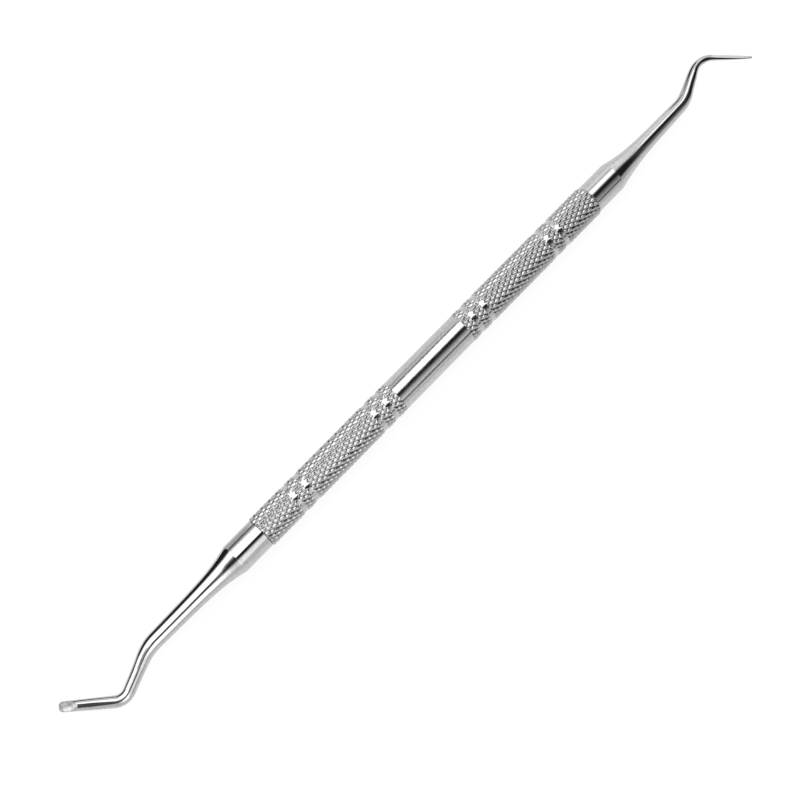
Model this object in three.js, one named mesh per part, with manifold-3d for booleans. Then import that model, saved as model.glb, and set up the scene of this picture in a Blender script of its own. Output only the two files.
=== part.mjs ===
// A double-ended hand scaler: a hollow round handle with a working end pressed into each end of it.
//
// Lengths are in millimetres and angles in degrees. The origin is on the handle's axis, at the centre of
// its plain middle. +X runs along the handle to the sickle blade, and -X to the curette blade. Both
// working ends bend in the XY plane, and the curette's hollow-ground face looks along +Z.

import * as THREE from "three";
import { mergeVertices } from "three/addons/utils/BufferGeometryUtils.js";
import Module from "manifold-3d";

// ---- Handle tube ----
const CREST_DIAMETER = 6.3; // over the crests of the knurl
const PLAIN_DIAMETER = 6.15; // the smooth middle
const GROOVE_DIAMETER = 6.06; // the smooth grooves between the knurled bands
const BORE_DIAMETER = 4.2;
const PLAIN_LENGTH = 17.5;
const RING_LENGTH = 1.8; // a narrow knurled ring
const GROOVE_LENGTH = 1.07;
const MAIN_KNURL_LENGTH = 16.1;
const CURETTE_END_KNURL_LENGTH = 7.52; // the last band is a little shorter at the curette's end
const SICKLE_END_KNURL_LENGTH = 8.57;
const BAND_CHAMFER = 0.12;
const MOUTH_CHAMFER = 0.2; // both edges of the tube's end faces

// ---- What the two working ends share ----
const TANG_CLEARANCE = 0.05; // between tang and bore, and between collar and tube
const TANG_LENGTH = 12;
const TANG_LANDS = 4;
const TANG_GROOVE_LENGTH = 0.8;
const TANG_GROOVE_DEPTH = 0.2;
const TANG_POINT_CHAMFER = 0.4;
const COLLAR_DIAMETER = 5.85;
const COLLAR_CHAMFER = 0.1;
const CONE_POWER = 1.17; // how sharply the concave cone leaves the collar's edge
const CONE_STATIONS = [0, 0.7, 1.6, 2.6, 3.8, 5.3, 7.3, 10, 13.5];

// ---- Facets ----
const SIDES = 24; // round sections have a flat face straight down
const BEND_STEP = 9; // the most that the centreline turns between two sections
const SECTION_GAP = 0.02; // two sections closer than this are one
const WALL_STEPS = 12; // round the wall behind the curette's face
const DISH_SIDES = 20;
const DISH_RINGS = 12;
const MERGE_GAP = 1e-4; // points closer than this are one

// ---- Curette end ----
// `route` walks the centreline from the tube's end: straight runs, and bends given by radius and turn.
// `shank` gives the sections past the cone: distance along the centreline, height in the plane of the
// bends, width across it, and how far the round section has become the sickle's blade (0 to 1).
const CURETTE = {
  endKnurlLength: CURETTE_END_KNURL_LENGTH,
  collarLength: 6.25,
  route: [
    { run: 25.1 },
    { radius: 9.6, turn: 22 },
    { run: 5.8 },
    { radius: 2.9, turn: -63 },
    { run: 9.1 },
  ],
  coneBase: 3.55,
  coneTaper: 0.03,
  coneLength: 3.9,
  shank: [
    { at: 26, height: 2.93, width: 2.93, wedge: 0 },
    { at: 28.6, height: 2.58, width: 2.58, wedge: 0 },
    { at: 31, height: 2.32, width: 2.32, wedge: 0 },
    { at: 36, height: 2.18, width: 2.18, wedge: 0 },
    { at: 41, height: 2.04, width: 1.96, wedge: 0 },
    { at: 45.9, height: 1.8, width: 1.78, wedge: 0 },
  ],
};
const TOE_LENGTH = 0.95; // the rounded end, past the last section
const TOE_STATIONS = [0.4, 0.72, 0.9, 0.985];
const TOE_POWER = 2.4; // a little squarer than a half circle
const FACE_LENGTH = 2.4; // from the tip to the foot of the wall behind the face
const FACE_HEIGHT = 0.12; // above the blade's centreline
const FACE_WALL_RADIUS = 0.95; // the wall is round in plan
const FACE_WALL_SLOPE = 0.9; // how far the wall leans back for each millimetre of its height
const DISH_LENGTH = 1.9;
const DISH_WIDTH = 1.34;
const DISH_DEPTH = 0.16;
const DISH_CENTRE = 1.25; // from the tip

// ---- Sickle end ----
// The shank leaves the handle's axis by about a degree just past the cone.
const SICKLE = {
  endKnurlLength: SICKLE_END_KNURL_LENGTH,
  collarLength: 6.62,
  route: [
    { run: 10 },
    { radius: 60, turn: 1.15 },
    { run: 14.8 },
    { radius: 7.25, turn: 24.2 },
    { run: 4.73 },
    { radius: 4.6, turn: -67.8 },
    { run: 8.4 },
  ],
  coneBase: 3.14,
  coneTaper: 0.022,
  coneLength: 4.9,
  shank: [
    { at: 24.2, height: 2.74, width: 2.74, wedge: 0 },
    { at: 28.4, height: 2.5, width: 2.5, wedge: 0 },
    { at: 30.6, height: 2.17, width: 2.22, wedge: 0 },
    { at: 32.6, height: 1.99, width: 2.06, wedge: 0 },
    { at: 35.8, height: 1.45, width: 1.5, wedge: 0.1 },
    { at: 37.2, height: 1.39, width: 1.12, wedge: 0.4 },
    { at: 38.2, height: 1.22, width: 0.84, wedge: 0.7 },
    { at: 39.8, height: 0.97, width: 0.6, wedge: 1 },
    { at: 42.4, height: 0.87, width: 0.5, wedge: 1 },
    { at: 44.8, height: 0.68, width: 0.38, wedge: 1 },
    { at: 46.4, height: 0.48, width: 0.26, wedge: 1 },
    { at: 46.9, height: 0.28, width: 0.14, wedge: 1 },
  ],
};

// The sickle blade's unit section: (degrees round from the back ridge, up, across) at the ridge, at the
// crease along each side, and at the two cutting edges with the flat face between them.
const BLADE_CORNERS = [
  [0, 1, 0],
  [60, -0.4, 1],
  [120, -1, 0.9],
  [240, -1, -0.9],
  [300, -0.4, -1],
  [360, 1, 0],
];

// ---- Materials ----
const HANDLE_STEEL = { color: 0xc4c6c8, roughness: 0.38, metalness: 1 };
const BLADE_STEEL = { color: 0xd2d4d6, roughness: 0.18, metalness: 1 };

const radians = THREE.MathUtils.degToRad;
const lerp = THREE.MathUtils.lerp;
const cornerScale = 1 / Math.cos(Math.PI / SIDES); // from the flats of a faceted round to its corners

const wasm = await Module();
wasm.setup();

/** The handle's bands from the plain middle out to one working end. */
function bandsTowards(end) {
  const groove = { length: GROOVE_LENGTH, knurled: false };
  const ring = { length: RING_LENGTH, knurled: true };
  const mainKnurl = { length: MAIN_KNURL_LENGTH, knurled: true };
  const endKnurl = { length: end.endKnurlLength, knurled: true };
  return [ring, groove, ring, groove, mainKnurl, groove, ring, groove, endKnurl];
}

/** How far the tube's end face is from the origin, on one working end's side. */
function tubeEnd(end) {
  return bandsTowards(end).reduce((sum, band) => sum + band.length, PLAIN_LENGTH / 2);
}

/** Points (distance from the origin, radius) on the outside of the tube, towards one working end. */
function outerProfile(workingEnd) {
  const bands = bandsTowards(workingEnd);
  const points = [[PLAIN_LENGTH / 2, PLAIN_DIAMETER / 2]];
  let start = PLAIN_LENGTH / 2;
  for (const band of bands) {
    const end = start + band.length;
    if (band.knurled) {
      const last = band === bands.at(-1);
      const chamfer = last ? MOUTH_CHAMFER : BAND_CHAMFER;
      const foot = last ? CREST_DIAMETER / 2 - MOUTH_CHAMFER : GROOVE_DIAMETER / 2;
      points.push([start, GROOVE_DIAMETER / 2]);
      points.push([start + BAND_CHAMFER, CREST_DIAMETER / 2]);
      points.push([end - chamfer, CREST_DIAMETER / 2]);
      points.push([end, foot]);
    }
    start = end;
  }
  return points;
}

/** Points on the bore's mouth at one end of the tube, going out. */
function boreProfile(workingEnd) {
  const bore = BORE_DIAMETER / 2;
  const mouth = tubeEnd(workingEnd);
  return [
    [mouth - MOUTH_CHAMFER, bore],
    [mouth, bore + MOUTH_CHAMFER],
  ];
}

function handleGeometry() {
  const mirrored = (points) => points.map(([x, r]) => [-x, r]);
  const outline = [
    ...mirrored(outerProfile(CURETTE)).reverse(),
    ...outerProfile(SICKLE),
    ...boreProfile(SICKLE).reverse(),
    ...mirrored(boreProfile(CURETTE)),
  ];
  outline.push(outline[0]);
  const profile = outline.map(([x, r]) => new THREE.Vector2(r * cornerScale, x));
  const geometry = new THREE.LatheGeometry(profile, SIDES, Math.PI / SIDES);
  geometry.rotateZ(-Math.PI / 2);
  return geometry;
}

function legLength(leg) {
  return leg.run ?? leg.radius * Math.abs(radians(leg.turn));
}

/** A point at a distance along a centreline that starts at the tube's end, with its heading. */
function walk(end, distance) {
  let x = tubeEnd(end);
  let y = 0;
  let heading = 0;
  let left = distance;
  for (const [index, leg] of end.route.entries()) {
    const length = legLength(leg);
    const isLast = index === end.route.length - 1;
    const step = isLast ? left : Math.min(left, length);
    if (leg.run !== undefined) {
      x += step * Math.cos(heading);
      y += step * Math.sin(heading);
    } else {
      const side = Math.sign(leg.turn);
      const turned = (side * step) / leg.radius;
      x += side * leg.radius * (Math.sin(heading + turned) - Math.sin(heading));
      y -= side * leg.radius * (Math.cos(heading + turned) - Math.cos(heading));
      heading += turned;
    }
    left -= step;
    if (left <= 0) break;
  }
  return { x, y, heading };
}

function round(at, diameter) {
  return { at, height: diameter, width: diameter, wedge: 0 };
}

/** The section at a distance from the tube's end: on the cone by its formula, and past it by the rows. */
function sectionAt(end, distance) {
  const { shank } = end;
  if (distance < shank[0].at) {
    const along = distance - end.collarLength;
    const flare = Math.exp(-((along / end.coneLength) ** CONE_POWER));
    const straight = end.coneBase - end.coneTaper * along;
    return round(distance, straight + (COLLAR_DIAMETER - end.coneBase) * flare);
  }
  const next = Math.max(1, shank.findIndex((row) => row.at >= distance));
  const [a, b] = [shank[next - 1], shank[next]];
  const share = (distance - a.at) / (b.at - a.at);
  return {
    at: distance,
    height: lerp(a.height, b.height, share),
    width: lerp(a.width, b.width, share),
    wedge: lerp(a.wedge, b.wedge, share),
  };
}

/** Extra sections in the bends, so that the centreline never turns more than BEND_STEP between two. */
function bendSections(end) {
  const sections = [];
  let start = 0;
  for (const leg of end.route) {
    const length = legLength(leg);
    if (leg.turn) {
      const steps = Math.ceil(Math.abs(leg.turn) / BEND_STEP);
      for (let i = 0; i <= steps; i++) {
        sections.push(sectionAt(end, start + (length * i) / steps));
      }
    }
    start += length;
  }
  return sections;
}

/** The place on a unit section at an angle, from round at wedge 0 to the sickle blade's at 1. */
function unitSection(degrees, wedge) {
  const next = BLADE_CORNERS.findIndex(([corner]) => corner > degrees);
  const [start, a, b] = BLADE_CORNERS[next - 1];
  const [end, c, d] = BLADE_CORNERS[next];
  const share = (degrees - start) / (end - start);
  const angle = radians(degrees);
  return [
    lerp(Math.cos(angle) * cornerScale, lerp(a, c, share), wedge),
    lerp(Math.sin(angle) * cornerScale, lerp(b, d, share), wedge),
  ];
}

/** The ring of points of one section, square to the centreline. */
function sectionRing(end, section) {
  const { x, y, heading } = walk(end, Math.max(section.at, 0));
  const behind = Math.min(section.at, 0); // the tang runs back into the tube
  const points = [];
  for (let i = 0; i < SIDES; i++) {
    const [up, across] = unitSection(((i + 0.5) * 360) / SIDES, section.wedge);
    const offset = (up * section.height) / 2;
    points.push(
      new THREE.Vector3(
        x + behind - offset * Math.sin(heading),
        y + offset * Math.cos(heading),
        (across * section.width) / 2,
      ),
    );
  }
  return points;
}

/** A closed solid through rings of equally many points, with a fan on each end. */
function loft(rings) {
  const sides = rings[0].length;
  const centre = (points) =>
    points.reduce((sum, p) => sum.add(p), new THREE.Vector3()).divideScalar(sides);
  const points = [...rings.flat(), centre(rings[0]), centre(rings.at(-1))];
  const firstCentre = points.length - 2;
  const lastCentre = points.length - 1;
  const lastRing = (rings.length - 1) * sides;
  const index = [];
  for (let i = 0; i < sides; i++) {
    const next = (i + 1) % sides;
    for (let r = 0; r < lastRing; r += sides) {
      index.push(r + i, r + next, r + sides + next);
      index.push(r + i, r + sides + next, r + sides + i);
    }
    index.push(firstCentre, next, i);
    index.push(lastCentre, lastRing + i, lastRing + next);
  }
  const geometry = new THREE.BufferGeometry().setFromPoints(points);
  geometry.setIndex(index);
  return geometry;
}

/** The tang inside the bore: lands parted by shallow grooves, chamfered at its inner end. */
function tangSections() {
  const landDiameter = BORE_DIAMETER - 2 * TANG_CLEARANCE;
  const grooveDiameter = landDiameter - 2 * TANG_GROOVE_DEPTH;
  const sections = [round(-TANG_LENGTH, landDiameter - 2 * TANG_POINT_CHAMFER)];
  const pitch = (TANG_LENGTH - TANG_POINT_CHAMFER) / TANG_LANDS;
  for (let land = 0; land < TANG_LANDS; land++) {
    const start = -TANG_LENGTH + TANG_POINT_CHAMFER + land * pitch;
    const end = start + pitch - TANG_GROOVE_LENGTH;
    sections.push(round(start, landDiameter));
    sections.push(round(end, landDiameter));
    sections.push(round(end, grooveDiameter));
    sections.push(round(start + pitch, grooveDiameter));
  }
  sections.at(-1).at = TANG_CLEARANCE;
  return sections;
}

/** The inner edge of the polished collar that abuts the tube's end. */
function collarSections() {
  return [
    round(TANG_CLEARANCE, COLLAR_DIAMETER - 2 * COLLAR_CHAMFER),
    round(TANG_CLEARANCE + COLLAR_CHAMFER, COLLAR_DIAMETER),
  ];
}

/** The rounded toe of the curette, past the last section of its shank. */
function toeSections(end) {
  const last = end.shank.at(-1);
  return TOE_STATIONS.map((share) => {
    const size = (1 - share ** TOE_POWER) ** (1 / TOE_POWER);
    return {
      at: last.at + share * TOE_LENGTH,
      height: last.height * size,
      width: last.width * size,
      wedge: 0,
    };
  });
}

function workingEndGeometry(end, tipSections) {
  const cone = CONE_STATIONS.map((along) => sectionAt(end, end.collarLength + along));
  const outside = [...cone, ...end.shank, ...bendSections(end)]
    .sort((a, b) => a.at - b.at)
    .filter((section, i, all) => i === 0 || section.at - all[i - 1].at > SECTION_GAP);
  const sections = [...tangSections(), ...collarSections(), ...outside, ...tipSections];
  return loft(sections.map((section) => sectionRing(end, section)));
}

/** One level of the face's cutter: round over the wall, and running out past the toe. */
function cutterRing(tip, height) {
  const radius = FACE_WALL_RADIUS + FACE_WALL_SLOPE * (height - FACE_HEIGHT);
  const wallCentre = FACE_LENGTH - FACE_WALL_RADIUS;
  const along = new THREE.Vector3(Math.cos(tip.heading), Math.sin(tip.heading), 0);
  const aside = new THREE.Vector3(-along.y, along.x, 0);
  const outline = [];
  for (let i = 0; i <= WALL_STEPS; i++) {
    const angle = (Math.PI * i) / WALL_STEPS;
    outline.push([-wallCentre - radius * Math.sin(angle), radius * Math.cos(angle)]);
  }
  outline.push([FACE_WALL_RADIUS, -radius], [FACE_WALL_RADIUS, radius]);
  return outline.map(([u, v]) =>
    new THREE.Vector3(tip.x, tip.y, height).addScaledVector(along, u).addScaledVector(aside, v),
  );
}

/** The shallow bowl ground into the curette's face. */
function dishGeometry(tip) {
  const geometry = new THREE.SphereGeometry(1, DISH_SIDES, DISH_RINGS);
  geometry.scale(DISH_LENGTH / 2, DISH_WIDTH / 2, DISH_DEPTH);
  geometry.rotateZ(tip.heading);
  geometry.translate(
    tip.x - DISH_CENTRE * Math.cos(tip.heading),
    tip.y - DISH_CENTRE * Math.sin(tip.heading),
    FACE_HEIGHT,
  );
  return geometry;
}

function toManifold(geometry) {
  const bare = geometry.clone();
  bare.deleteAttribute("normal");
  bare.deleteAttribute("uv");
  const merged = mergeVertices(bare, MERGE_GAP);
  return new wasm.Manifold(
    new wasm.Mesh({
      numProp: 3,
      vertProperties: merged.attributes.position.array,
      triVerts: new Uint32Array(merged.index.array),
    }),
  );
}

function toGeometry(manifold) {
  const mesh = manifold.getMesh();
  const geometry = new THREE.BufferGeometry();
  geometry.setAttribute("position", new THREE.BufferAttribute(mesh.vertProperties, 3));
  geometry.setIndex(new THREE.BufferAttribute(mesh.triVerts, 1));
  return geometry;
}

function curetteGeometry() {
  const body = workingEndGeometry(CURETTE, toeSections(CURETTE));
  const tip = walk(CURETTE, CURETTE.shank.at(-1).at + TOE_LENGTH);
  const overBlade = CURETTE.shank.at(-1).width;
  const cutter = loft([cutterRing(tip, FACE_HEIGHT), cutterRing(tip, overBlade)]);
  return toGeometry(
    toManifold(body).subtract(toManifold(cutter)).subtract(toManifold(dishGeometry(tip))),
  );
}

function steelMesh(name, geometry, steel) {
  const mesh = new THREE.Mesh(geometry, new THREE.MeshStandardMaterial(steel));
  mesh.name = name;
  return mesh;
}

const handleTube = steelMesh("handle_tube", handleGeometry(), HANDLE_STEEL);
const sickleEnd = steelMesh("sickle_end", workingEndGeometry(SICKLE, []), BLADE_STEEL);
const curetteEnd = steelMesh("curette_end", curetteGeometry(), BLADE_STEEL);
curetteEnd.rotation.z = Math.PI; // the curette's end is laid out along +X too, then turned about

const group = new THREE.Group();
group.add(handleTube, sickleEnd, curetteEnd);

export default group;
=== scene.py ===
# A double-ended hand scaler of polished stainless steel, on a white table in a small photo studio.
#
# Lengths are in metres, written as millimetres times MM, and angles in degrees, but for those marked as
# radians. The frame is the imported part's own: the origin is on the handle's axis, +X runs to the sickle
# blade, and both working ends bend in the XY plane. The handle tube and the two working ends are each
# one fine mesh that replaces its CAD node.

from functools import partial
from math import ceil, cos, exp, hypot, pi, radians, sin, tan

import bpy
from mathutils import Matrix, Vector


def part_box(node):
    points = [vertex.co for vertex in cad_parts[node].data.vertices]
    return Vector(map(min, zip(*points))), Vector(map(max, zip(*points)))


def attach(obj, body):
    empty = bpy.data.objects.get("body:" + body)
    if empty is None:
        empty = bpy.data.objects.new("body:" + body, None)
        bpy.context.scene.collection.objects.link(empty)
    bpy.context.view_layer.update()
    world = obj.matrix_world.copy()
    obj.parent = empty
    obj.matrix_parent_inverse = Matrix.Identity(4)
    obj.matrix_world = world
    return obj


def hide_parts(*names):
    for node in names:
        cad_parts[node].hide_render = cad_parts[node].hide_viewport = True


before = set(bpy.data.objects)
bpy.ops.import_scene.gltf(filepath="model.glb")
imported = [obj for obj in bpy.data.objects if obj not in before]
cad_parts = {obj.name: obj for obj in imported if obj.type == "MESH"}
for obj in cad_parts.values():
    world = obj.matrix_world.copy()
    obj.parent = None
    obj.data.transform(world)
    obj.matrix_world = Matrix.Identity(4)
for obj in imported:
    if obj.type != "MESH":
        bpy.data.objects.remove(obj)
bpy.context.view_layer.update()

MM = 0.001

# ---- Handle tube ----
CREST_RADIUS = 3.15 * MM  # over the crests of the knurl
PLAIN_RADIUS = 3.075 * MM
GROOVE_RADIUS = 3.03 * MM
GROOVE_HOLLOW = 0.035 * MM  # each groove is a little deeper in its middle
BORE_RADIUS = 2.1 * MM
PLAIN_LENGTH = 17.5 * MM
RING_LENGTH = 1.8 * MM
GROOVE_LENGTH = 1.07 * MM
MAIN_KNURL_LENGTH = 16.1 * MM
BAND_CHAMFER = 0.1 * MM
MOUTH_CHAMFER = 0.2 * MM
PLAIN_ROWS = (0, 0.25, 0.5)  # rows on half of the plain middle, as shares of its whole length
GROOVE_STEPS = 6  # rows over a groove between two bands

# ---- Knurl ----
KNURL_STARTS = 22  # grooves round the handle in each hand
KNURL_PERIOD = 1.8 * MM  # along the axis
KNURL_DEPTH = 0.24 * MM  # of the first hand's grooves
CROSS_DEPTH = 0.21 * MM  # of the second hand's, which the knurling wheel cuts less deeply
KNURL_FLANK = 0.45  # width of a groove's flank, as a share of the pitch
KNURL_SAMPLES = 10  # mesh columns and rows in one pitch
GROOVE_SHADE_WIDTH = 0.15  # how far the painted shade reaches from the bottom of a groove, as a share of the pitch
CROSS_GROOVE_SHADE = 0.7  # how much of the painted shade the second hand's grooves get
GROOVE_SHADE_TONE = 0.12  # how light the painted shade leaves the steel at the bottom of a groove

# ---- What the two working ends share ----
TANG_CLEARANCE = 0.05 * MM
TANG_LENGTH = 12 * MM
TANG_LANDS = 4
TANG_GROOVE_LENGTH = 0.8 * MM
TANG_GROOVE_DEPTH = 0.2 * MM
TANG_POINT_CHAMFER = 0.4 * MM
COLLAR_DIAMETER = 5.85 * MM
COLLAR_CHAMFER = 0.1 * MM
CONE_POWER = 1.17
CONE_TO_SHANK = 2 * MM  # at least this much lies between the cone's last row and the shank's first
CONE_ROW_STEP = 1.2 * MM
CONE_ROW_GROWTH = 1.6  # each step between rows is this many times the one before, up to that
END_SIDES = 96
TOP_SIDES = 32  # of the sides, those that cross the curette's face
HALF_TOP = pi / 3  # radians that half of them span where nothing is cut
STATION_STEP = 0.3 * MM
STATION_GROWTH = 1.5  # each gap between stations is this many times the one before, up to that
CONE_FIRST_STEP = 0.02 * MM  # rows and stations both start this close together behind the collar

# ---- Curette end ----
# `route` walks the centreline from the tube's end: straight runs, and bends given by radius and turn.
# `shank` gives (distance, height in the plane of the bends, width across it, wedge) past the cone.
CURETTE = {
    "side": -1,
    "collar_length": 6.25 * MM,
    "route": [
        {"run": 25.1 * MM},
        {"radius": 9.6 * MM, "turn": 22},
        {"run": 5.8 * MM},
        {"radius": 2.9 * MM, "turn": -63},
        {"run": 9.1 * MM},
    ],
    "cone_base": 3.55 * MM,
    "cone_taper": 0.03,
    "cone_length": 3.9 * MM,
    "shank": [
        (26 * MM, 2.93 * MM, 2.93 * MM, 0),
        (28.6 * MM, 2.58 * MM, 2.58 * MM, 0),
        (31 * MM, 2.32 * MM, 2.32 * MM, 0),
        (36 * MM, 2.18 * MM, 2.18 * MM, 0),
        (41 * MM, 2.04 * MM, 1.96 * MM, 0),
        (45.9 * MM, 1.8 * MM, 1.78 * MM, 0),
    ],
}
TOE_LENGTH = 0.95 * MM
TOE_POWER = 2.4
TOE_STEPS = 22
FACE_LENGTH = 2.4 * MM  # from the tip to the foot of the wall behind the face
FACE_HEIGHT = 0.12 * MM
FACE_WALL_RADIUS = 0.95 * MM
FACE_WALL_SLOPE = 0.9
DISH_LENGTH = 2.1 * MM
DISH_WIDTH = 1.5 * MM
DISH_DEPTH = 0.16 * MM
DISH_CENTRE = 1.25 * MM
FACE_STEP = 0.05 * MM
FACE_LEAD = 0.8 * MM  # the fine stations start this far before the foot of the wall
EDGE_HALVINGS = 40  # in the search for the face's edge
GATHER_LENGTH = 4 * MM  # before the face, the sides that will cross it draw together
GATHERED_TOP = 0.12  # radians that half of them span there
FLAT_LENGTH = 11 * MM  # a narrow flat runs along the top, from the last bend to the toe
FLAT_DEPTH = 0.065 * MM
FLAT_RAMP = 1.7  # how quickly it deepens: at 1 it would reach its depth only at the tip
FLAT_TILT = -0.05  # how far it leans towards the outer side of the last bend

# ---- Sickle end ----
SICKLE = {
    "side": 1,
    "collar_length": 6.62 * MM,
    "route": [
        {"run": 10 * MM},
        {"radius": 60 * MM, "turn": 1.15},
        {"run": 14.8 * MM},
        {"radius": 7.25 * MM, "turn": 24.2},
        {"run": 4.73 * MM},
        {"radius": 4.6 * MM, "turn": -67.8},
        {"run": 8.4 * MM},
    ],
    "cone_base": 3.14 * MM,
    "cone_taper": 0.022,
    "cone_length": 4.9 * MM,
    "shank": [
        (24.2 * MM, 2.74 * MM, 2.74 * MM, 0),
        (28.4 * MM, 2.5 * MM, 2.5 * MM, 0),
        (30.6 * MM, 2.17 * MM, 2.22 * MM, 0),
        (32.6 * MM, 1.99 * MM, 2.06 * MM, 0),
        (35.8 * MM, 1.45 * MM, 1.5 * MM, 0.1),
        (37.2 * MM, 1.39 * MM, 1.12 * MM, 0.4),
        (38.2 * MM, 1.22 * MM, 0.84 * MM, 0.7),
        (39.8 * MM, 0.97 * MM, 0.6 * MM, 1),
        (42.4 * MM, 0.87 * MM, 0.5 * MM, 1),
        (44.8 * MM, 0.68 * MM, 0.38 * MM, 1),
        (46.4 * MM, 0.48 * MM, 0.26 * MM, 1),
        (46.9 * MM, 0.28 * MM, 0.14 * MM, 1),
    ],
}
SICKLE_POINT = 0.03 * MM  # past the last section
# Each side's crease runs between two places, each given as (distance, share of the blade's height).
CREASES = (38 * MM, 0.42), (47 * MM, 0.13)
EDGE_WIDTH = 0.9  # the flat face's width, as a share of the blade's
SHARP_WEDGE = 0.5  # the wedge at which the blade's edges start

tube_low, tube_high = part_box("handle_tube")


# ---- Mesh helpers ----

def lerp(a, b, share):
    """The value that is a share of the way from a to b."""
    return a + (b - a) * share


def smooth(share):
    """A share from 0 to 1 that starts and ends level."""
    share = min(max(share, 0), 1)
    return share * share * (3 - 2 * share)


def add_mesh(name, points, faces, materials):
    """An object with a mesh of its own, in the scene."""
    mesh = bpy.data.meshes.new(name)
    mesh.from_pydata(points, [], faces)
    for material in materials:
        mesh.materials.append(material)
    added = bpy.data.objects.new(name, mesh)
    bpy.context.scene.collection.objects.link(added)
    return added


def make_piece(name, points, faces, sharp_edges, materials, node, second=()):
    """A smooth-shaded mesh that replaces a CAD node; `second` numbers its second material's faces."""
    piece = add_mesh(name, points, faces, materials)
    mesh = piece.data
    mesh.polygons.foreach_set("use_smooth", [True] * len(mesh.polygons))
    for edge in mesh.edges:
        edge.use_edge_sharp = tuple(sorted(edge.vertices)) in sharp_edges
    for number in second:
        mesh.polygons[number].material_index = 1
    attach(piece, "root")
    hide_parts(node)
    return piece


def ring_faces(rows, sides, closed_loop=False):
    """Quads between neighbouring rings of points; a closed loop joins the last ring to the first."""
    faces = []
    for row in range(rows if closed_loop else rows - 1):
        here, after = row * sides, ((row + 1) % rows) * sides
        for i in range(sides):
            j = (i + 1) % sides
            faces.append((here + i, here + j, after + j, after + i))
    return faces


def ring_edges(ring, sides):
    """The edges of one ring, as pairs of point numbers."""
    start = ring * sides
    return {tuple(sorted((start + i, start + (i + 1) % sides))) for i in range(sides)}


# ---- Handle tube ----

def knurl(column, along):
    """Depth under the crests, and painted shade from 0 to 1, at a place in pitches round and along the
    tube.
    """
    first, second = (abs(t - round(t)) for t in (column - along, column + along))
    depth = max(KNURL_DEPTH * (1 - first / KNURL_FLANK), CROSS_DEPTH * (1 - second / KNURL_FLANK), 0)
    # painted shade, darkest at the bottom of each groove
    groove_shade = max(1 - first / GROOVE_SHADE_WIDTH, CROSS_GROOVE_SHADE * (1 - second / GROOVE_SHADE_WIDTH), 0)
    return depth, groove_shade


def knurl_bands(tube_end):
    """(start, end) of each knurled band, from the plain middle out to one end of the tube."""
    bands = []
    start = PLAIN_LENGTH / 2
    for length in (RING_LENGTH, RING_LENGTH, MAIN_KNURL_LENGTH, RING_LENGTH):
        bands.append((start, start + length))
        start += length + GROOVE_LENGTH
    bands.append((start, tube_end))
    return bands


def knurled_rows(start, end, last):
    """Rows (x, outline radius, pitches from the band's start) over one knurled band."""
    chamfer = MOUTH_CHAMFER if last else BAND_CHAMFER
    foot = CREST_RADIUS - MOUTH_CHAMFER if last else GROOVE_RADIUS
    step = KNURL_PERIOD / KNURL_SAMPLES
    places = [start, start + BAND_CHAMFER / 2, start + BAND_CHAMFER]
    places += [start + step * i for i in range(1, ceil((end - start - chamfer) / step))]
    places += [end - chamfer, end - chamfer / 2, end]
    rows = []
    for x in places:
        rise = lerp(GROOVE_RADIUS, CREST_RADIUS, min((x - start) / BAND_CHAMFER, 1))
        fall = lerp(foot, CREST_RADIUS, min((end - x) / chamfer, 1))
        rows.append((x, min(rise, fall), (x - start) / KNURL_PERIOD))
    return rows


def groove_rows(start, end):
    """Rows over the hollow bottom of a groove between two bands."""
    rows = []
    for i in range(1, GROOVE_STEPS):
        across = 2 * i / GROOVE_STEPS - 1
        radius = GROOVE_RADIUS - GROOVE_HOLLOW * (1 - across ** 2)
        rows.append((lerp(start, end, i / GROOVE_STEPS), radius, None))
    return rows


def outside_rows(tube_end):
    """All rows on the outside of the tube, from its middle to one end."""
    rows = [(share * PLAIN_LENGTH, PLAIN_RADIUS, None) for share in PLAIN_ROWS]
    bands = knurl_bands(tube_end)
    for i, (start, end) in enumerate(bands):
        last = i == len(bands) - 1
        rows += knurled_rows(start, end, last)
        if not last:
            rows += groove_rows(end, bands[i + 1][0])
    return rows


def mouth_rows(tube_end):
    """Rows over the tube's end face and the chamfered mouth of its bore."""
    return [
        (tube_end, BORE_RADIUS + MOUTH_CHAMFER, None),
        (tube_end - MOUTH_CHAMFER, BORE_RADIUS, None),
    ]


def mirrored(rows):
    """Rows on the curette's side of the origin; both sides are knurled by the same two hands."""
    return [(-x, radius, None if along is None else -along) for x, radius, along in rows]


def is_edge(rows, k):
    """Whether row k is the edge of a knurled band or of a face that is square to the axis."""
    x, _, along = rows[k]
    before, after = rows[k - 1], rows[(k + 1) % len(rows)]
    return (along is not None and None in (before[2], after[2])) or x in (before[0], after[0])


def handle_mesh():
    """Points, faces, sharp edges, and painted shade at each point."""
    columns = KNURL_STARTS * KNURL_SAMPLES
    left = mirrored(outside_rows(-tube_low.x)[1:] + mouth_rows(-tube_low.x))
    rows = left[::-1] + outside_rows(tube_high.x) + mouth_rows(tube_high.x)
    points, groove_shade = [], []
    for x, outline, along in rows:
        for i in range(columns):
            depth, point_shade = (0, 0) if along is None else knurl(i / KNURL_SAMPLES, along)
            radius = min(outline, CREST_RADIUS - depth)
            angle = 2 * pi * i / columns
            points.append((x, radius * cos(angle), radius * sin(angle)))
            groove_shade.append(point_shade)
    edges = [k for k in range(len(rows)) if is_edge(rows, k)]
    sharp = set().union(*(ring_edges(k, columns) for k in edges))
    return points, ring_faces(len(rows), columns, closed_loop=True), sharp, groove_shade


# ---- Working ends ----

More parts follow.
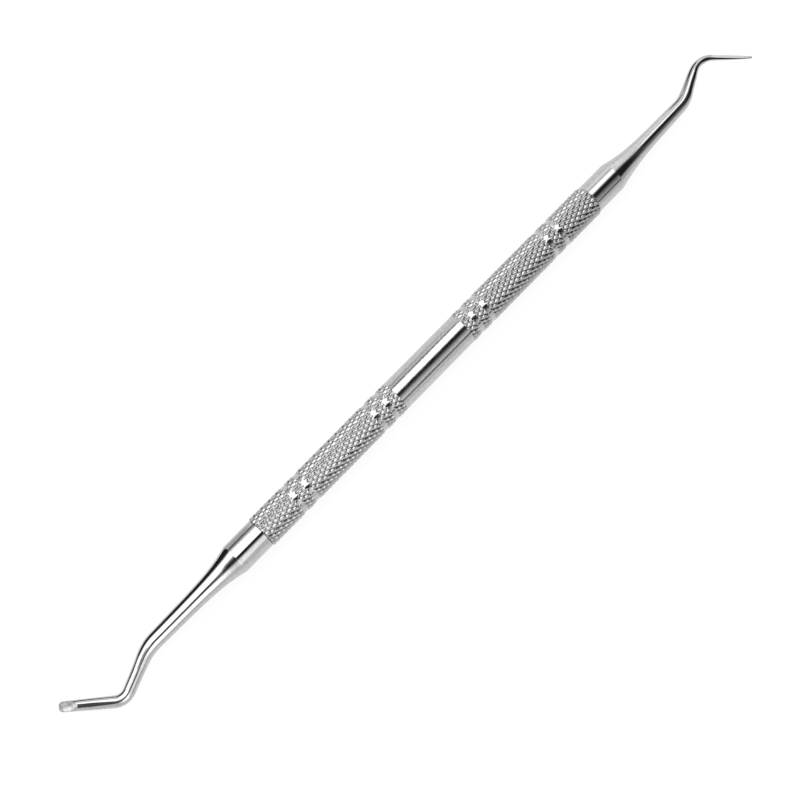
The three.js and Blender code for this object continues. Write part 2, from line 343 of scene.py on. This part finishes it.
def walk(end, distance):
    """The point and heading at a distance along a centreline laid out along +X from the tube's end."""
    x = -tube_low.x if end["side"] < 0 else tube_high.x
    y = heading = 0.0
    left = distance
    for index, leg in enumerate(end["route"]):
        is_last = index == len(end["route"]) - 1
        if "run" in leg:
            step = left if is_last else min(left, leg["run"])
            x += step * cos(heading)
            y += step * sin(heading)
        else:
            radius = leg["radius"]
            step = min(left, radius * abs(radians(leg["turn"])))
            side = 1 if leg["turn"] > 0 else -1
            turned = side * step / radius
            x += side * radius * (sin(heading + turned) - sin(heading))
            y -= side * radius * (cos(heading + turned) - cos(heading))
            heading += turned
        left -= step
        if left <= 0:
            break
    return x, y, heading


def cone_diameter(end, distance):
    """The diameter of the concave cone past the collar, and of the straight taper it runs out into."""
    along = distance - end["collar_length"]
    flare = exp(-((along / end["cone_length"]) ** CONE_POWER))
    straight = end["cone_base"] - end["cone_taper"] * along
    return straight + (COLLAR_DIAMETER - end["cone_base"]) * flare


def section_rows(end):
    """The rows that sections are interpolated from: the cone's formula, then the shank."""
    rows = []
    at = end["collar_length"]
    step = CONE_FIRST_STEP
    while at < end["shank"][0][0] - CONE_TO_SHANK:
        size = cone_diameter(end, at)
        rows.append((at, size, size, 0))
        at += step
        step = min(step * CONE_ROW_GROWTH, CONE_ROW_STEP)
    return rows + end["shank"]


def tangent(rows, k, column):
    """A slope at row k that keeps the curve through the rows from overshooting."""
    if k in (0, len(rows) - 1):
        a, b = (rows[0], rows[1]) if k == 0 else (rows[-2], rows[-1])
        return (b[column] - a[column]) / (b[0] - a[0])
    before = (rows[k][column] - rows[k - 1][column]) / (rows[k][0] - rows[k - 1][0])
    after = (rows[k + 1][column] - rows[k][column]) / (rows[k + 1][0] - rows[k][0])
    if before * after <= 0:
        return 0.0
    return 2 * before * after / (before + after)


def section_at(rows, at):
    """Height, width and wedge at a distance, on a smooth curve through the rows."""
    k = 0
    while k < len(rows) - 2 and rows[k + 1][0] < at:
        k += 1
    span = rows[k + 1][0] - rows[k][0]
    t = min(max((at - rows[k][0]) / span, 0), 1)
    values = []
    for column in (1, 2, 3):
        a, b = rows[k][column], rows[k + 1][column]
        ta = tangent(rows, k, column) * span
        tb = tangent(rows, k + 1, column) * span
        values.append(  # the cubic that meets both rows at their slopes
            (2 * t ** 3 - 3 * t ** 2 + 1) * a
            + (t ** 3 - 2 * t ** 2 + t) * ta
            + (3 * t ** 2 - 2 * t ** 3) * b
            + (t ** 3 - t ** 2) * tb
        )
    return values


def blade_corners(at):
    """The corners of the sickle blade's unit section: (degrees from the back ridge, up, across)."""
    (start, first), (end, last) = CREASES
    crease = 2 * lerp(first, last, (at - start) / (end - start)) - 1
    return [
        (0, 1, 0), (60, crease, 1), (120, -1, EDGE_WIDTH),
        (240, -1, -EDGE_WIDTH), (300, crease, -1), (360, 1, 0),
    ]


def unit_section(degrees, wedge, corners):
    """The place on a unit section, from round at wedge 0 to the blade's at 1."""
    k = max(i for i in range(len(corners) - 1) if corners[i][0] <= degrees)
    (start, a, b), (end, c, d) = corners[k], corners[k + 1]
    share = (degrees - start) / (end - start)
    angle = radians(degrees)
    return (
        lerp(cos(angle), lerp(a, c, share), wedge),
        lerp(sin(angle), lerp(b, d, share), wedge),
    )


def place(end, distance, up, across):
    """A point at an offset from the centreline, in the part's frame."""
    x, y, heading = walk(end, max(distance, 0))
    x += min(distance, 0)
    side = end["side"]
    return (side * (x - up * sin(heading)), side * (y + up * cos(heading)), across)


def blade_ring(end, at, height, width, wedge):
    """A ring of the sickle's end: it starts at the outer side of the bends and runs up over the top."""
    ring = []
    corners = blade_corners(at)
    for i in range(END_SIDES):
        up, across = unit_section(360 * i / END_SIDES, wedge, corners)
        ring.append(place(end, at, up * height / 2, across * width / 2))
    return ring


def blade_point(angle, height, width, flat):
    """A point (up, across) on the curette's round section, cut down to the flat along its top."""
    up = height / 2 * sin(angle)
    return up, min(width / 2 * cos(angle), width / 2 - flat + FLAT_TILT * up)


def face_ring(end, at, height, width, flat=0, half_top=HALF_TOP, level=None):
    """A ring of the curette's end: round under the blade, then back over the top or the ground face.

    `flat` is the depth of the flat along the top. `half_top` is the angle from the top at which the two
    stretches meet, and `level` gives the face's height.
    """
    under = END_SIDES - TOP_SIDES
    angles = [lerp(half_top, 2 * pi - half_top, i / under) for i in range(under)]
    ring = [blade_point(angle, height, width, flat) for angle in angles]
    for i in range(TOP_SIDES):
        share = i / TOP_SIDES
        if level:
            aside = height / 2 * sin(half_top) * (2 * share - 1)
            ring.append((aside, level(aside)))
        else:
            ring.append(blade_point(half_top * (2 * share - 1), height, width, flat))
    return [place(end, at, up, across) for up, across in ring]


def insert_profile(end):
    """(distance, diameter) from the tang's point out to the collar's far edge."""
    land = 2 * BORE_RADIUS - 2 * TANG_CLEARANCE
    groove = land - 2 * TANG_GROOVE_DEPTH
    pitch = (TANG_LENGTH - TANG_POINT_CHAMFER) / TANG_LANDS
    profile = [(-TANG_LENGTH, land - 2 * TANG_POINT_CHAMFER)]
    for i in range(TANG_LANDS):
        start = -TANG_LENGTH + TANG_POINT_CHAMFER + i * pitch
        finish = start + pitch if i < TANG_LANDS - 1 else TANG_CLEARANCE
        top = start + pitch - TANG_GROOVE_LENGTH
        profile += [(start, land), (top, land), (top, groove), (finish, groove)]
    profile.append((TANG_CLEARANCE, COLLAR_DIAMETER - 2 * COLLAR_CHAMFER))
    profile.append((TANG_CLEARANCE + COLLAR_CHAMFER, COLLAR_DIAMETER))
    profile.append((end["collar_length"], COLLAR_DIAMETER))
    return profile


def stations(start, end, step, first=None):
    """Distances past start and before end, at most a step apart and closer together at the start."""
    places = []
    gap = first or step
    at = start + gap
    while at < end - gap / 2:
        places.append(at)
        gap = min(gap * STATION_GROWTH, step)
        at += gap
    return places


def end_points(end, rings, tip):
    """All points of a closed loft, with the two centre points that close it."""
    points = [p for ring in rings for p in ring]
    return points + [place(end, -TANG_LENGTH, 0, 0), tip]


def end_faces(rings, flip):
    """All faces of a closed loft; `flip` turns them over, for rings that run the other way round."""
    faces = ring_faces(len(rings), END_SIDES)
    last = (len(rings) - 1) * END_SIDES
    back, tip = len(rings) * END_SIDES, len(rings) * END_SIDES + 1
    for i in range(END_SIDES):
        j = (i + 1) % END_SIDES
        faces.append((back, j, i))
        faces.append((tip, last + i, last + j))
    return [face[::-1] for face in faces] if flip else faces


def line_edges(column, first, last):
    """The edges of one column of points, from one ring to another."""
    return {(row * END_SIDES + column, (row + 1) * END_SIDES + column) for row in range(first, last)}


def sickle_mesh():
    """Points, faces and sharp edges."""
    rows = section_rows(SICKLE)
    profile = insert_profile(SICKLE)
    rings = [blade_ring(SICKLE, at, size, size, 0) for at, size in profile]
    sharp = set().union(*(ring_edges(ring, END_SIDES) for ring in range(len(rings))))
    tip_at = rows[-1][0]
    first_wedge = None
    for at in stations(SICKLE["collar_length"], tip_at, STATION_STEP, CONE_FIRST_STEP) + [tip_at]:
        height, width, wedge = section_at(rows, at)
        if wedge > SHARP_WEDGE and first_wedge is None:
            first_wedge = len(rings)
        rings.append(blade_ring(SICKLE, at, height, width, wedge))
    for degrees, _, _ in blade_corners(tip_at)[:-1]:
        sharp |= line_edges(degrees * END_SIDES // 360, first_wedge, len(rings) - 1)
    tip = place(SICKLE, tip_at + SICKLE_POINT, 0, 0)
    return end_points(SICKLE, rings, tip), end_faces(rings, flip=False), sharp


def face_level(from_tip, aside):
    """Height of the ground face at a place on the blade: the floor, its dish or the wall behind."""
    past_wall_centre = max(from_tip - (FACE_LENGTH - FACE_WALL_RADIUS), 0)
    up_wall = hypot(past_wall_centre, aside) - FACE_WALL_RADIUS
    if up_wall > 0:
        return FACE_HEIGHT + up_wall / FACE_WALL_SLOPE
    out = ((from_tip - DISH_CENTRE) / (DISH_LENGTH / 2)) ** 2 + (aside / (DISH_WIDTH / 2)) ** 2
    return FACE_HEIGHT - DISH_DEPTH * max(1 - out, 0)


def cut_angle(from_tip, height, width, flat):
    """The angle from the top of a section at which the face's edge lies, or 0 where nothing is cut."""
    def is_cut(angle):
        up, across = blade_point(angle, height, width, flat)
        return across > face_level(from_tip, up)

    if not is_cut(0):
        return 0
    low, high = 0, pi / 2
    for _ in range(EDGE_HALVINGS):
        middle = (low + high) / 2
        if is_cut(middle):
            low = middle
        else:
            high = middle
    return low


def curette_sections(rows, face_start, blade_end):
    """(distance, height, width) at each station past the collar, up to and round the toe."""
    places = stations(CURETTE["collar_length"], face_start, STATION_STEP, CONE_FIRST_STEP)
    places += [face_start] + stations(face_start, blade_end, FACE_STEP) + [blade_end]
    sections = [(at, *section_at(rows, at)[:2]) for at in places]
    height, width, _ = section_at(rows, blade_end)
    for i in range(1, TOE_STEPS - 1):
        out = sin(pi / 2 * i / TOE_STEPS)
        size = (1 - out ** TOE_POWER) ** (1 / TOE_POWER)
        sections.append((blade_end + out * TOE_LENGTH, height * size, width * size))
    return sections


def curette_mesh():
    """Points, faces, sharp edges, and the numbers of the faces that are ground."""
    rows = section_rows(CURETTE)
    blade_end = rows[-1][0]
    tip_at = blade_end + TOE_LENGTH
    rings = [face_ring(CURETTE, at, size, size) for at, size in insert_profile(CURETTE)]
    sharp = set().union(*(ring_edges(ring, END_SIDES) for ring in range(len(rings))))
    face_start = tip_at - FACE_LENGTH - FACE_LEAD
    first_cut = None
    for at, height, width in curette_sections(rows, face_start, blade_end):
        from_tip = tip_at - at
        flat = FLAT_DEPTH * min(max(1 - from_tip / FLAT_LENGTH, 0) * FLAT_RAMP, 1)
        half_top = cut_angle(from_tip, height, width, flat)
        if half_top:
            level = partial(face_level, from_tip)
            if first_cut is None:
                first_cut = len(rings)
        else:
            level = None
            half_top = lerp(HALF_TOP, GATHERED_TOP, smooth((at - face_start) / GATHER_LENGTH + 1))
        rings.append(face_ring(CURETTE, at, height, width, flat, half_top, level))
    for column in (0, END_SIDES - TOP_SIDES):
        sharp |= line_edges(column, first_cut, len(rings) - 1)
    tip = place(CURETTE, tip_at, 0, 0)
    top = range(END_SIDES - TOP_SIDES, END_SIDES)
    ground = {ring * END_SIDES + i for ring in range(first_cut, len(rings) - 1) for i in top}
    return end_points(CURETTE, rings, tip), end_faces(rings, flip=True), sharp, ground


# ---- Materials ----

STEEL = 0.5
TINT = 1.01  # blue against red and green
SMUDGE_SCALE = 420
SMUDGE_DETAIL = 4
SMUDGE_RANGE = (0.35, 0.7)  # of the noise, from clean to smudged
MARKS_DETAIL = 3


def grey(share):
    """The steel's colour, made darker by a share under 1 or lighter by one over 1."""
    return (STEEL * share, STEEL * share, STEEL * share * TINT, 1)


def steel(name, roughness, spread, marks, marks_depth, grain):
    """Steel with fine tool marks.

    Smudges add up to `spread` to the roughness. `marks` gives the marks' density along each axis,
    `marks_depth` their depth, and `grain` how much lighter or darker they are than the rest.
    """
    material = bpy.data.materials.new(name)
    material.use_nodes = True
    nodes, links = material.node_tree.nodes, material.node_tree.links
    shader = nodes["Principled BSDF"]
    shader.inputs["Metallic"].default_value = 1
    where = nodes.new("ShaderNodeTexCoord")

    smudges = nodes.new("ShaderNodeTexNoise")
    smudges.inputs["Scale"].default_value = SMUDGE_SCALE
    smudges.inputs["Detail"].default_value = SMUDGE_DETAIL
    links.new(where.outputs["Object"], smudges.inputs["Vector"])
    to_roughness = nodes.new("ShaderNodeMapRange")
    to_roughness.inputs["From Min"].default_value = SMUDGE_RANGE[0]
    to_roughness.inputs["From Max"].default_value = SMUDGE_RANGE[1]
    to_roughness.inputs["To Min"].default_value = roughness
    to_roughness.inputs["To Max"].default_value = roughness + spread
    links.new(smudges.outputs["Fac"], to_roughness.inputs["Value"])
    links.new(to_roughness.outputs["Result"], shader.inputs["Roughness"])

    stretch = nodes.new("ShaderNodeMapping")
    stretch.inputs["Scale"].default_value = marks
    lines = nodes.new("ShaderNodeTexNoise")
    lines.inputs["Scale"].default_value = 1
    lines.inputs["Detail"].default_value = MARKS_DETAIL
    links.new(where.outputs["Object"], stretch.inputs["Vector"])
    links.new(stretch.outputs["Vector"], lines.inputs["Vector"])
    bump = nodes.new("ShaderNodeBump")
    bump.inputs["Strength"].default_value = 1
    bump.inputs["Distance"].default_value = marks_depth
    links.new(lines.outputs["Fac"], bump.inputs["Height"])
    links.new(bump.outputs["Normal"], shader.inputs["Normal"])
    shade = nodes.new("ShaderNodeMix")
    shade.name = "shade"
    shade.data_type = "RGBA"
    shade.inputs["A"].default_value = grey(max(1 - grain, 0))
    shade.inputs["B"].default_value = grey(1 + grain)
    links.new(lines.outputs["Fac"], shade.inputs["Factor"])
    links.new(shade.outputs["Result"], shader.inputs["Base Color"])
    return material


def add_groove_shade(material):
    """Paints shade into the steel's colour where the mesh's point attribute says so, in the knurl's
    grooves.
    """
    nodes, links = material.node_tree.nodes, material.node_tree.links
    where = nodes.new("ShaderNodeAttribute")
    where.attribute_name = "groove_shade"
    groove_shade = nodes.new("ShaderNodeMix")
    groove_shade.data_type = "RGBA"
    # the colour of the painted shade in the grooves
    groove_shade.inputs["B"].default_value = grey(GROOVE_SHADE_TONE)
    links.new(where.outputs["Fac"], groove_shade.inputs["Factor"])
    links.new(nodes["shade"].outputs["Result"], groove_shade.inputs["A"])
    links.new(groove_shade.outputs["Result"], nodes["Principled BSDF"].inputs["Base Color"])


handle_steel = steel(
    "handle_steel", roughness=0.1, spread=0.07,
    marks=(4500, 2500, 2500), marks_depth=0.007 * MM, grain=0.5,
)
# paint shade into the knurl's grooves
add_groove_shade(handle_steel)
blade_steel = steel(
    "blade_steel", roughness=0.07, spread=0.05,
    marks=(5500, 1600, 1600), marks_depth=0.004 * MM, grain=0.35,
)
ground_steel = steel(
    "ground_steel", roughness=0.4, spread=0.12,
    marks=(1900, 900, 900), marks_depth=0.03 * MM, grain=1.1,
)

points, faces, sharp, groove_shade = handle_mesh()
handle = make_piece(
    "handle_tube_knurled", points, faces, sharp, [handle_steel], "handle_tube",
)
# the painted shade for the knurl's grooves, at each point
handle.data.attributes.new("groove_shade", "FLOAT", "POINT").data.foreach_set("value", groove_shade)
points, faces, sharp, ground = curette_mesh()
make_piece(
    "curette_end_ground", points, faces, sharp, [blade_steel, ground_steel],
    "curette_end", second=ground,
)
points, faces, sharp = sickle_mesh()
make_piece(
    "sickle_end_ground", points, faces, sharp, [blade_steel], "sickle_end",
)

# ---- Camera ----
LENS = 66.26  # millimetres
SENSOR_WIDTH = 36  # millimetres
NEAREST = 10 * MM  # nothing closer to the camera shows
CAMERA_DISTANCE = 261.64 * MM
CAMERA_TILT = 12.08  # towards the curette's end
CAMERA_ROLL = 45.43
CAMERA_RIGHT = -5.05 * MM
CAMERA_UP = -6.52 * MM


def make_camera():
    """Looks down on the handle's middle, with the handle running up to the right."""
    tilt, roll = radians(CAMERA_TILT), radians(CAMERA_ROLL)
    back = Vector((-sin(tilt), 0, cos(tilt)))
    along = Vector((cos(tilt), 0, sin(tilt)))
    aside = Vector((0, 1, 0))
    right = along * cos(roll) - aside * sin(roll)
    up = along * sin(roll) + aside * cos(roll)
    data = bpy.data.cameras.new("camera")
    data.lens = LENS
    data.sensor_width = SENSOR_WIDTH
    data.clip_start = NEAREST
    camera = bpy.data.objects.new("camera", data)
    turn = Matrix((right, up, back)).transposed().to_4x4()
    spot = back * CAMERA_DISTANCE + right * CAMERA_RIGHT + up * CAMERA_UP
    camera.matrix_world = Matrix.Translation(spot) @ turn
    bpy.context.scene.collection.objects.link(camera)
    bpy.context.scene.camera = camera


make_camera()


# ---- Studio ----

TABLE_HALF = 2.0
TABLE_COLOUR = (0.14, 0.14, 0.14)  # of the light that falls on it; most of its white comes from below
TABLE_GLOW = 0.87
TABLE_ROUGHNESS = 0.8
ROOM_GLOW = 0.85
table_level = min(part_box(node)[0].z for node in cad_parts)


def light_table():
    """A white table lit from below, which leaves only a faint shadow."""
    signs = ((-1, -1), (1, -1), (1, 1), (-1, 1))
    corners = [(x * TABLE_HALF, y * TABLE_HALF, table_level) for x, y in signs]
    material = bpy.data.materials.new("light_table")
    material.use_nodes = True
    shader = material.node_tree.nodes["Principled BSDF"]
    shader.inputs["Base Color"].default_value = (*TABLE_COLOUR, 1)
    shader.inputs["Roughness"].default_value = TABLE_ROUGHNESS
    shader.inputs["Specular IOR Level"].default_value = 0
    shader.inputs["Emission Color"].default_value = (1, 1, 1, 1)
    shader.inputs["Emission Strength"].default_value = TABLE_GLOW
    table = add_mesh("light_table", corners, [(0, 1, 2, 3)], [material])


light_table()


def soft_light(name, strength):
    """A light, or at a low strength a black cloth, that thins out where its mesh's cover runs out."""
    material = bpy.data.materials.new(name)
    material.use_nodes = True
    nodes, links = material.node_tree.nodes, material.node_tree.links
    nodes.clear()
    cover = nodes.new("ShaderNodeAttribute")
    cover.attribute_name = "cover"
    clear = nodes.new("ShaderNodeBsdfTransparent")
    light = nodes.new("ShaderNodeEmission")
    light.inputs["Strength"].default_value = strength
    mix = nodes.new("ShaderNodeMixShader")
    out = nodes.new("ShaderNodeOutputMaterial")
    links.new(cover.outputs["Fac"], mix.inputs[0])
    links.new(clear.outputs[0], mix.inputs[1])
    links.new(light.outputs[0], mix.inputs[2])
    links.new(mix.outputs[0], out.inputs["Surface"])
    return material


def stage_grid(name, points, width, cover, strength, lights_table=False):
    """A stage piece that the camera doesn't see, from rows of points that are each `width` points long.

    `cover` is how strongly it shows at each point. A piece that doesn't light the table shows only in
    the steel's reflections.
    """
    faces = [
        (a, a + width, a + width + 1, a + 1)
        for start in range(0, len(points) - width, width)
        for a in range(start, start + width - 1)
    ]
    piece = add_mesh(name, points, faces, [soft_light(name, strength)])
    piece.data.attributes.new("cover", "FLOAT", "POINT").data.foreach_set("value", cover)
    piece.visible_camera = False
    piece.visible_diffuse = lights_table
    piece.visible_shadow = lights_table


CEILING = 260 * MM
LAYER = 3 * MM  # between the layers of strips: the black flag lies lowest, in front of the rest
SOFTBOX_STRENGTH = 2.4
FILL_STRENGTH = 1.3
CARD_LIGHT_STRENGTH = 3
FRAME_STRENGTH = 0.05
CLOTH_STRENGTH = 0.02  # black cloth gives back a little light

# Each light, frame or flag over the table is a strip along the handle with soft edges. A row gives a
# place along X, then four angles across the handle, measured at the handle from straight up towards +Y:
# where the strip starts to fade in, where it is full, where it starts to fade out, and where it has
# gone. Then comes how strong it is there.
UPPER_SOFTBOX = [  # on the +Y side
    (-420 * MM, 30, 40, 58, 64, 0),
    (-300 * MM, 26, 34, 60, 66, 1),
    (-160 * MM, 22, 31, 61, 67, 1),
    (-112 * MM, 6, 13, 60, 67, 1),
    (-85 * MM, 6, 13, 60, 67, 1),
    (-30 * MM, 1, 5, 58, 64, 1),
    (65 * MM, 6, 11, 46, 51, 1),
    (110 * MM, 7, 13, 45, 50, 1),
    (155 * MM, 11, 18, 45, 54, 1),
    (185 * MM, 12, 18, 45, 54, 1),
    (208 * MM, 16, 22, 37, 45, 1),
    (228 * MM, 17, 23, 32, 38, 1),
    (246 * MM, 12, 18, 31, 37, 0.8),
    (262 * MM, 12, 20, 32, 38, 0),
]
LOWER_SOFTBOX = [  # on the -Y side
    (-260 * MM, -72, -66, -48, -30, 0),
    (-175 * MM, -66, -60, -38, -24, 0.4),
    (-150 * MM, -64, -58, -34, -20, 0.75),
    (-73 * MM, -62, -56, -22, -13, 1),
    (-65 * MM, -64, -54, -26, -12, 0.25),
    (-50 * MM, -64, -52, -30, -12, 0.2),
    (-36 * MM, -64, -50, -34, -12, 0.5),
    (-22 * MM, -64, -50, -34, -12, 0.5),
    (10 * MM, -61, -50, -38, -16, 0.3),
    (90 * MM, -58, -50, -42, -28, 0),
]
RIGHT_FILL = [  # a long, weaker light past the sickle's end
    (190 * MM, 22, 30, 66, 74, 0),
    (240 * MM, 22, 34, 70, 78, 0.6),
    (400 * MM, 22, 34, 74, 82, 1),
    (600 * MM, 24, 36, 76, 84, 1),
    (2600 * MM, 26, 38, 82, 87, 1),
    (3400 * MM, 26, 38, 82, 87, 0),
]
DARK_FLAG = [  # black cloth between the softboxes, over the whole length of the handle
    (-420 * MM, -24, -12, 0, 28, 0),
    (-300 * MM, -24, -14, 4, 27, 0.94),
    (-155 * MM, -24, -12, 8, 31, 0.98),
    (-142 * MM, -22, -11, 8, 29, 0.97),
    (-128 * MM, -21, -11, -1, 9, 0.9),
    (-118 * MM, -20, -10, -3, 6, 0.82),
    (-85 * MM, -15, -9, 2, 9, 1),
    (-30 * MM, -23, -12, 0, 5, 1),
    (65 * MM, -40, -14, 3, 11, 1),
    (110 * MM, -42, -14, 3, 12, 1),
    (155 * MM, -46, -13, 3, 18, 1),
    (212 * MM, -58, -22, 5, 20, 1),
    (227 * MM, -60, -24, 5, 20, 1),
    (250 * MM, -62, -27, 2, 14, 0.92),
    (300 * MM, -67, -33, 6, 22, 1),
    (430 * MM, -67, -44, 6, 24, 1),
    (560 * MM, -64, -48, 9, 28, 1),
    (640 * MM, -65, -51, 9, 28, 1),
    (760 * MM, -73, -58, 9, 28, 1),
    (1100 * MM, -77, -66, 9, 28, 1),
    (1400 * MM, -83, -74, 9, 28, 1),
    (2000 * MM, -85, -78, 9, 28, 1),
    (3400 * MM, -87, -82, 9, 28, 0),
]
UPPER_FRAME = [  # a dark frame along the upper softbox's outer edge
    (-10 * MM, 51, 54, 58, 61, 0),
    (50 * MM, 51, 54, 59, 62, 1),
    (120 * MM, 50, 53, 58, 61, 0.9),
    (230 * MM, 44, 47, 50, 54, 0.4),
    (300 * MM, 44, 47, 50, 54, 0),
]
LOWER_FRAME = [  # and one along the lower softbox's
    (-40 * MM, -61, -60, -59, -57, 0),
    (50 * MM, -63, -60, -56, -53, 1),
    (160 * MM, -65, -61, -54, -51, 1),
    (260 * MM, -67, -63, -55, -51, 0.8),
    (500 * MM, -67, -63, -58, -55, 0),
]


def strip(name, rows, strength, level, lights_table=False):
    """A strip over the table, from its rows."""
    points, cover = [], []
    for x, *angles, share in rows:
        points += [(x, level * tan(radians(angle)), level) for angle in angles]
        cover += [0.0, float(share), float(share), 0.0]
    stage_grid(name, points, len(angles), cover, strength, lights_table)


strip("softbox_upper", UPPER_SOFTBOX, SOFTBOX_STRENGTH, CEILING + 3 * LAYER, lights_table=True)
strip("softbox_lower", LOWER_SOFTBOX, SOFTBOX_STRENGTH, CEILING + 3 * LAYER, lights_table=True)
strip("fill_right", RIGHT_FILL, FILL_STRENGTH, CEILING + 4 * LAYER)
strip("frame_upper", UPPER_FRAME, FRAME_STRENGTH, CEILING + LAYER)
strip("frame_lower", LOWER_FRAME, FRAME_STRENGTH, CEILING + LAYER)
strip("flag_centre", DARK_FLAG, CLOTH_STRENGTH, CEILING)


def card(name, y, places, heights, lean=0, strength=CLOTH_STRENGTH):
    """A card across the table at y, which leans back by `lean` for each unit of its height.

    It has places along X and heights over the table, with how strongly it shows at each.
    """
    points = [(x, y + lean * z, table_level + z) for x, _ in places for z, _ in heights]
    cover = [float(a * b) for _, a in places for _, b in heights]
    stage_grid(name, points, len(heights), cover, strength)


# A tall dark card far off on the +Y side, from the handle's middle to well past the curette's end.
card(
    "card_far", 350 * MM,
    ((-900 * MM, 1), (-60 * MM, 1), (20 * MM, 0.5), (120 * MM, 0)),
    ((0, 1), (80 * MM, 1), (135 * MM, 0)),
)
# Small dark cards close to the +Y side of the two shanks, for the dark lines along them.
card(
    "card_curette", 3.5 * MM,
    ((-98 * MM, 0), (-90 * MM, 1), (-50 * MM, 1), (-49 * MM, 0.35), (-43 * MM, 0.35), (-41 * MM, 0)),
    ((0.9 * MM, 1), (5.5 * MM, 1), (7.5 * MM, 0)),
    lean=4,
)
card(
    "card_sickle", 13 * MM,
    ((72.6 * MM, 0), (74 * MM, 0.6), (76 * MM, 1), (83 * MM, 1), (85 * MM, 0)),
    ((0, 1), (6 * MM, 1), (9 * MM, 0)),
)
# A dark card nearly flat on the table beside the curette's toe, for the dark rim there.
card(
    "card_toe", 0,
    ((-98 * MM, 0), (-94 * MM, 1), (-87 * MM, 1), (-86 * MM, 0)),
    ((0.05 * MM, 1), (0.2 * MM, 1)),
    lean=60,
)
# A light on the +Y side, beyond the curette's end, for the bright wall behind its ground face.
card(
    "card_face", 100 * MM,
    ((-340 * MM, 0), (-300 * MM, 1), (-150 * MM, 1), (-120 * MM, 0)),
    ((0, 1), (90 * MM, 1), (130 * MM, 0)),
    strength=CARD_LIGHT_STRENGTH,
)

world = bpy.data.worlds.new("studio")
world.use_nodes = True
background = world.node_tree.nodes["Background"]
background.inputs["Color"].default_value = (1, 1, 1, 1)
background.inputs["Strength"].default_value = ROOM_GLOW
bpy.context.scene.world = world
bpy.context.scene.view_settings.view_transform = "Standard"
